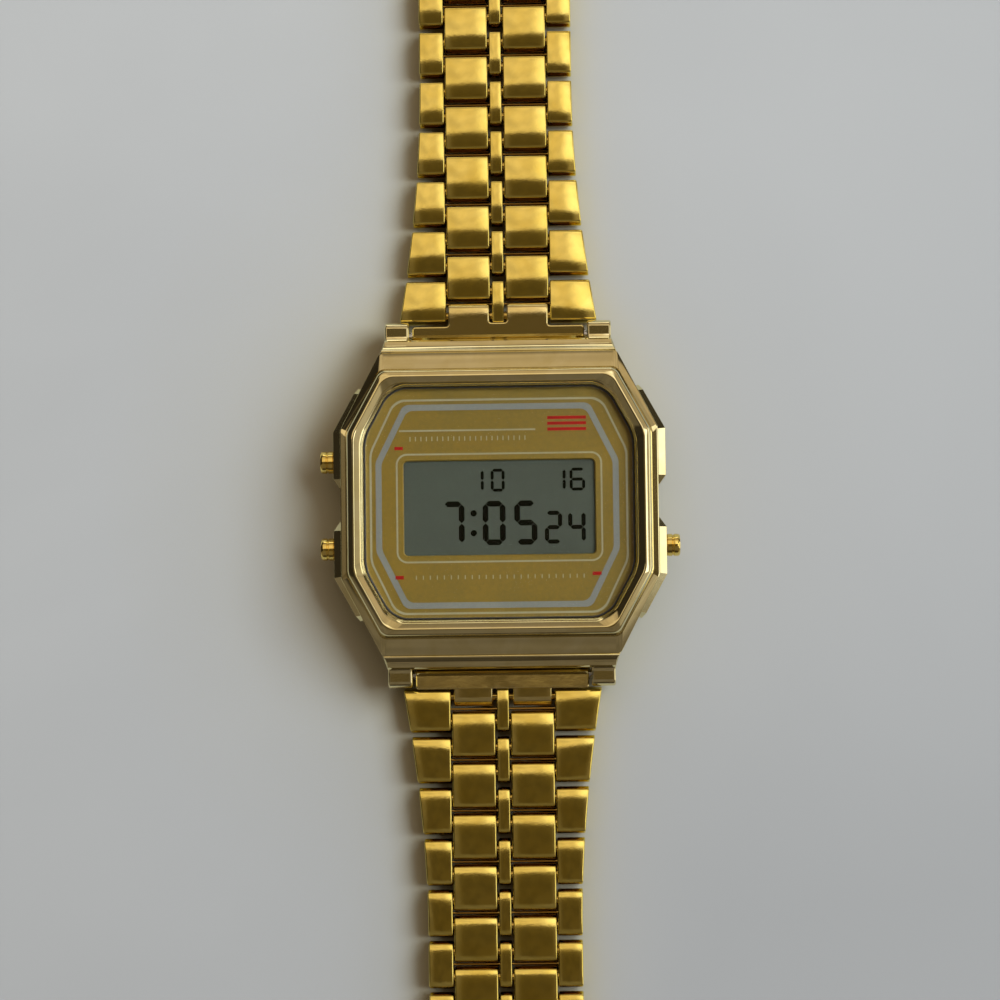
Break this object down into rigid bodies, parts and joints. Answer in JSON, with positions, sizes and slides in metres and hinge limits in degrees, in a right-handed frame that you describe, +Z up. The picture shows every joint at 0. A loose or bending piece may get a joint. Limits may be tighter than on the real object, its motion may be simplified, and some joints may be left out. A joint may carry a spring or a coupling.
{
  "type": "digital wristwatch",
  "caption": "Digital watch with a rectangular metal case, liquid crystal display, push buttons and a jointed link bracelet with a folding clasp, laid out flat.",
  "frame": {"origin": "centre of the outer face of the case back, which rests on the table", "axes": "+X to 3 o'clock, +Y to 12 o'clock along the bracelet, +Z up out of the crystal"},
  "size_m": [0.0362, 0.1916, 0.0082],
  "materials": {
    "case_gold": "polished",
    "bezel_gold": "polished",
    "button_gold": "polished",
    "strap_gold": "fine brushed",
    "clasp_gold": "fine brushed",
    "steel": "satin",
    "crystal_glass": "clear gloss",
    "dial_print": "satin gold print",
    "lcd_glass": "grey-green gloss",
    "lcd_segments": "dark",
    "white_film": "satin",
    "strip_rubber": "matt",
    "black_rubber": "matt",
    "black_plastic": "matt",
    "board_green": "gloss",
    "can_metal": "bright",
    "lamp_clear": "gloss",
    "contact_brass": "bright"
  },
  "bodies": {
    "watch_head": {"case_body": "case_gold", "bezel": "bezel_gold", "crystal": "crystal_glass", "crystal_gasket": "black_rubber", "dial_plate": "dial_print", "lcd_panel": "lcd_glass", "lcd_digits": "lcd_segments", "lcd_reflector": "white_film", "zebra_connectors": "strip_rubber", "module_frame": "black_plastic", "circuit_board": "board_green", "control_chip": "black_plastic", "quartz_can": "can_metal", "backlight_lamp": "lamp_clear", "battery_cell": "steel", "battery_ring": "black_plastic", "battery_clamp": "steel", "module_screws": "steel", "contact_springs": "contact_brass", "buzzer_disc": "contact_brass", "buzzer_spring": "steel", "back_gasket": "black_rubber", "case_back": "steel", "case_back_screws": "steel", "button_seals": "black_rubber", "spring_bars": "steel", "button_spring_left_upper": "steel", "button_spring_left_lower": "steel", "button_spring_right_lower": "steel"},
    "button_left_upper": {"button_left_upper": "button_gold", "button_clip_left_upper": "steel"},
    "button_left_lower": {"button_left_lower": "button_gold", "button_clip_left_lower": "steel"},
    "button_right_lower": {"button_right_lower": "button_gold", "button_clip_right_lower": "steel"},
    "end_piece_upper": {"end_piece_upper": "case_gold"},
    "link_upper_1": {"link_upper_1": "strap_gold"},
    "link_upper_2": {"link_upper_2": "strap_gold"},
    "link_upper_3": {"link_upper_3": "strap_gold"},
    "link_upper_4": {"link_upper_4": "strap_gold"},
    "link_upper_5": {"link_upper_5": "strap_gold"},
    "link_upper_6": {"link_upper_6": "strap_gold"},
    "link_upper_7": {"link_upper_7": "strap_gold"},
    "link_upper_8": {"link_upper_8": "strap_gold"},
    "end_piece_lower": {"end_piece_lower": "case_gold"},
    "link_lower_1": {"link_lower_1": "strap_gold"},
    "link_lower_2": {"link_lower_2": "strap_gold"},
    "link_lower_3": {"link_lower_3": "strap_gold"},
    "link_lower_4": {"link_lower_4": "strap_gold"},
    "link_lower_5": {"link_lower_5": "strap_gold"},
    "link_lower_6": {"link_lower_6": "strap_gold"},
    "link_lower_7": {"link_lower_7": "strap_gold"},
    "link_lower_8": {"link_lower_8": "strap_gold"},
    "link_lower_9": {"link_lower_9": "strap_gold"},
    "link_lower_10": {"link_lower_10": "strap_gold"},
    "link_lower_11": {"link_lower_11": "strap_gold"},
    "clasp_cover": {"clasp_cover": "clasp_gold"},
    "clasp_leaf": {"clasp_leaf": "clasp_gold"},
    "clasp_slider": {"clasp_slider": "clasp_gold"},
    "clasp_lock": {"clasp_lock": "clasp_gold"}
  },
  "joints": [
    {"name": "button_left_upper_press", "type": "slide", "parent": "watch_head", "child": "button_left_upper", "axis": [1, 0, 0], "range_m": [0, 0.0008], "stiffness_N_per_m": 1200, "springref_m": -0.0005, "deforming": ["button_spring_left_upper"]},
    {"name": "button_left_lower_press", "type": "slide", "parent": "watch_head", "child": "button_left_lower", "axis": [1, 0, 0], "range_m": [0, 0.0008], "stiffness_N_per_m": 1200, "springref_m": -0.0005, "deforming": ["button_spring_left_lower"]},
    {"name": "button_right_lower_press", "type": "slide", "parent": "watch_head", "child": "button_right_lower", "axis": [-1, 0, 0], "range_m": [0, 0.0008], "stiffness_N_per_m": 1200, "springref_m": -0.0005, "deforming": ["button_spring_right_lower"]},
    {"name": "end_piece_upper_swing", "type": "hinge", "parent": "watch_head", "child": "end_piece_upper", "pos_m": [0, 0.0172, 0.0026], "axis": [1, 0, 0], "range_deg": [-25, 10]},
    {"name": "link_upper_1_bend", "type": "hinge", "parent": "end_piece_upper", "child": "link_upper_1", "pos_m": [0, 0.0194, 0.0013], "axis": [1, 0, 0], "range_deg": [-20, 8]},
    {"name": "link_upper_2_bend", "type": "hinge", "parent": "link_upper_1", "child": "link_upper_2", "pos_m": [0, 0.02455, 0.0013], "axis": [1, 0, 0], "range_deg": [-20, 8]},
    {"name": "link_upper_3_bend", "type": "hinge", "parent": "link_upper_2", "child": "link_upper_3", "pos_m": [0, 0.0297, 0.0013], "axis": [1, 0, 0], "range_deg": [-20, 8]},
    {"name": "link_upper_4_bend", "type": "hinge", "parent": "link_upper_3", "child": "link_upper_4", "pos_m": [0, 0.03485, 0.0013], "axis": [1, 0, 0], "range_deg": [-20, 8]},
    {"name": "link_upper_5_bend", "type": "hinge", "parent": "link_upper_4", "child": "link_upper_5", "pos_m": [0, 0.04, 0.0013], "axis": [1, 0, 0], "range_deg": [-20, 8]},
    {"name": "link_upper_6_bend", "type": "hinge", "parent": "link_upper_5", "child": "link_upper_6", "pos_m": [0, 0.04515, 0.0013], "axis": [1, 0, 0], "range_deg": [-20, 8]},
    {"name": "link_upper_7_bend", "type": "hinge", "parent": "link_upper_6", "child": "link_upper_7", "pos_m": [0, 0.0503, 0.0013], "axis": [1, 0, 0], "range_deg": [-20, 8]},
    {"name": "link_upper_8_bend", "type": "hinge", "parent": "link_upper_7", "child": "link_upper_8", "pos_m": [0, 0.05545, 0.0013], "axis": [1, 0, 0], "range_deg": [-20, 8]},
    {"name": "end_piece_lower_swing", "type": "hinge", "parent": "watch_head", "child": "end_piece_lower", "pos_m": [0, -0.0172, 0.0026], "axis": [1, 0, 0], "range_deg": [-10, 25]},
    {"name": "link_lower_1_bend", "type": "hinge", "parent": "end_piece_lower", "child": "link_lower_1", "pos_m": [0, -0.0194, 0.0013], "axis": [1, 0, 0], "range_deg": [-8, 20]},
    {"name": "link_lower_2_bend", "type": "hinge", "parent": "link_lower_1", "child": "link_lower_2", "pos_m": [0, -0.02455, 0.0013], "axis": [1, 0, 0], "range_deg": [-8, 20]},
    {"name": "link_lower_3_bend", "type": "hinge", "parent": "link_lower_2", "child": "link_lower_3", "pos_m": [0, -0.0297, 0.0013], "axis": [1, 0, 0], "range_deg": [-8, 20]},
    {"name": "link_lower_4_bend", "type": "hinge", "parent": "link_lower_3", "child": "link_lower_4", "pos_m": [0, -0.03485, 0.0013], "axis": [1, 0, 0], "range_deg": [-8, 20]},
    {"name": "link_lower_5_bend", "type": "hinge", "parent": "link_lower_4", "child": "link_lower_5", "pos_m": [0, -0.04, 0.0013], "axis": [1, 0, 0], "range_deg": [-8, 20]},
    {"name": "link_lower_6_bend", "type": "hinge", "parent": "link_lower_5", "child": "link_lower_6", "pos_m": [0, -0.04515, 0.0013], "axis": [1, 0, 0], "range_deg": [-8, 20]},
    {"name": "link_lower_7_bend", "type": "hinge", "parent": "link_lower_6", "child": "link_lower_7", "pos_m": [0, -0.0503, 0.0013], "axis": [1, 0, 0], "range_deg": [-8, 20]},
    {"name": "link_lower_8_bend", "type": "hinge", "parent": "link_lower_7", "child": "link_lower_8", "pos_m": [0, -0.05545, 0.0013], "axis": [1, 0, 0], "range_deg": [-8, 20]},
    {"name": "link_lower_9_bend", "type": "hinge", "parent": "link_lower_8", "child": "link_lower_9", "pos_m": [0, -0.0606, 0.0013], "axis": [1, 0, 0], "range_deg": [-8, 20]},
    {"name": "link_lower_10_bend", "type": "hinge", "parent": "link_lower_9", "child": "link_lower_10", "pos_m": [0, -0.06575, 0.0013], "axis": [1, 0, 0], "range_deg": [-8, 20]},
    {"name": "link_lower_11_bend", "type": "hinge", "parent": "link_lower_10", "child": "link_lower_11", "pos_m": [0, -0.0709, 0.0013], "axis": [1, 0, 0], "range_deg": [-8, 20]},
    {"name": "clasp_cover_bend", "type": "hinge", "parent": "link_upper_8", "child": "clasp_cover", "pos_m": [0, 0.0606, 0.0013], "axis": [1, 0, 0], "range_deg": [-20, 8]},
    {"name": "clasp_leaf_fold", "type": "hinge", "parent": "clasp_cover", "child": "clasp_leaf", "pos_m": [0, 0.0896, 0.00105], "axis": [1, 0, 0], "range_deg": [-176, 0]},
    {"name": "clasp_slider_adjust", "type": "slide", "parent": "clasp_leaf", "child": "clasp_slider", "axis": [0, 1, 0], "range_m": [-0.004, 0.006]},
    {"name": "clasp_lock_lift", "type": "hinge", "parent": "clasp_slider", "child": "clasp_lock", "pos_m": [0, 0.1055, 0.0018], "axis": [1, 0, 0], "range_deg": [-80, 0]}
  ]
}
